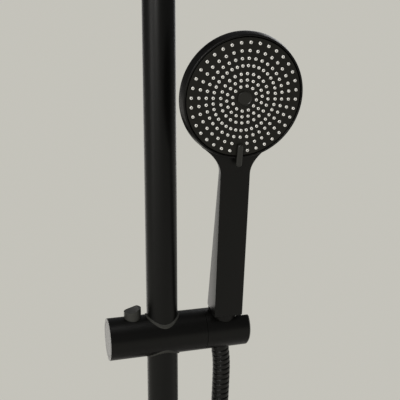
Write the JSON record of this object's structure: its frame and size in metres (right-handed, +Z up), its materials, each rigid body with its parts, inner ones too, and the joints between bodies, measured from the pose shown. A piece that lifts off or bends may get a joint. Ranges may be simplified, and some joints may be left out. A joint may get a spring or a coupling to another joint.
{
  "type": "rainfall shower column",
  "caption": "Wall column with a round riser, overhead arm and rain head, a sliding clamp holding a tilted hand shower, a diverter with a knob, and a ribbed hose.",
  "frame": {"origin": "centre of the inlet's threaded mouth, on the wall plane, behind the lower flange", "axes": "+Z up along the riser, +Y into the wall, the object's front faces -Y, +X to the viewer's right"},
  "size_m": [0.22, 0.552, 1.5585],
  "materials": {
    "black_metal": "satin",
    "black_plastic": "satin",
    "black_hose": "satin, spiral ribbed",
    "grey_plastic": "matte",
    "face_plastic": "matte",
    "white_plastic": "matte",
    "pale_silicone": "soft",
    "dark_silicone": "soft",
    "seal_rubber": "soft",
    "brass": "machined",
    "steel": "plain"
  },
  "bodies": {
    "column": {"inlet_post": "black_metal", "inlet_seal": "seal_rubber", "wall_flange_lower": "black_metal", "diverter_body": "black_metal", "diverter_cartridge": "white_plastic", "cartridge_nut": "brass", "hose_nipple": "brass", "check_valve": "white_plastic", "riser_tube": "black_metal", "riser_o_ring": "seal_rubber", "riser_grub_screw": "steel", "bracket_base": "steel", "bracket_post": "black_metal", "bracket_collar": "black_metal", "bracket_flange": "black_metal", "bracket_grub_screw": "steel", "hose": "black_hose", "hose_nut_lower": "black_metal", "hose_ferrule_lower": "steel", "hose_washer_lower": "seal_rubber"},
    "diverter_handle": {"diverter_knob": "black_metal", "diverter_spindle": "brass", "diverter_disc": "white_plastic", "knob_grub_screw": "steel"},
    "arm": {"arm_elbow": "black_metal", "overhead_arm": "black_metal", "arm_nipple": "black_metal", "arm_seal": "seal_rubber", "swivel_ball": "steel"},
    "ball_seat": {"swivel_seat": "white_plastic"},
    "rain_head": {"rain_head_top": "black_metal", "rain_head_face": "black_metal", "rain_nozzles": "dark_silicone", "rain_gasket": "seal_rubber", "swivel_nut": "black_metal"},
    "liner": {"slider_liner": "grey_plastic"},
    "slider": {"slider_body": "black_plastic", "slider_end_cap": "black_plastic", "brake_shoe": "white_plastic", "pivot_bolt": "steel", "friction_washer": "white_plastic", "button_spring": "steel"},
    "button": {"release_button": "grey_plastic"},
    "holder": {"holder_body": "black_plastic"},
    "cone_nut": {"hose_cone_nut": "black_plastic", "hose_ferrule_upper": "steel", "hose_washer_upper": "seal_rubber"},
    "hand_shower": {"handset_shell": "black_plastic", "handset_inlet": "brass", "handset_waterway": "white_plastic", "distributor_disc": "white_plastic"},
    "spray_selector": {"spray_face": "face_plastic", "spray_nozzles": "pale_silicone", "selector_tab": "grey_plastic", "centre_cap": "grey_plastic"}
  },
  "joints": [
    {"name": "diverter_turn", "type": "hinge", "parent": "column", "child": "diverter_handle", "pos_m": [0, -0.062, 0], "axis": [0, -1, 0], "range_deg": [-90, 90]},
    {"name": "arm_swivel", "type": "hinge", "parent": "column", "child": "arm", "pos_m": [0, -0.062, 1.13], "axis": [0, 0, 1], "range_deg": [-60, 60]},
    {"name": "rain_head_pitch", "type": "hinge", "parent": "arm", "child": "ball_seat", "pos_m": [0, -0.442, 1.094], "axis": [1, 0, 0], "range_deg": [-12, 12]},
    {"name": "rain_head_roll", "type": "hinge", "parent": "ball_seat", "child": "rain_head", "pos_m": [0, -0.442, 1.094], "axis": [0, 1, 0], "range_deg": [-12, 12]},
    {"name": "slider_travel", "type": "slide", "parent": "column", "child": "liner", "axis": [0, 0, 1], "range_m": [-0.55, 0.1], "deforming": ["hose"]},
    {"name": "slider_swivel", "type": "hinge", "parent": "liner", "child": "slider", "pos_m": [0, -0.062, 0.74], "axis": [0, 0, 1], "range_deg": [-60, 30]},
    {"name": "button_press", "type": "slide", "parent": "slider", "child": "button", "axis": [0, 0, -1], "range_m": [0, 0.003], "stiffness_N_per_m": 1500, "springref_m": -0.004, "deforming": ["button_spring"]},
    {"name": "holder_tilt", "type": "hinge", "parent": "slider", "child": "holder", "pos_m": [0.0504, -0.062, 0.74], "axis": [1, 0, 0], "range_deg": [-3, 45]},
    {"name": "hand_shower_lift", "type": "slide", "parent": "holder", "child": "cone_nut", "axis": [0, -0.2317, 0.9728], "range_m": [0, 0.06]},
    {"name": "hand_shower_twist", "type": "hinge", "parent": "cone_nut", "child": "hand_shower", "pos_m": [0.0504, -0.062, 0.74], "axis": [0, -0.2317, 0.9728], "range_deg": [-10, 90]},
    {"name": "spray_select", "type": "hinge", "parent": "hand_shower", "child": "spray_selector", "pos_m": [0.0504, -0.10953, 0.92914], "axis": [0, -0.9728, -0.2317], "range_deg": [-30, 30]}
  ]
}
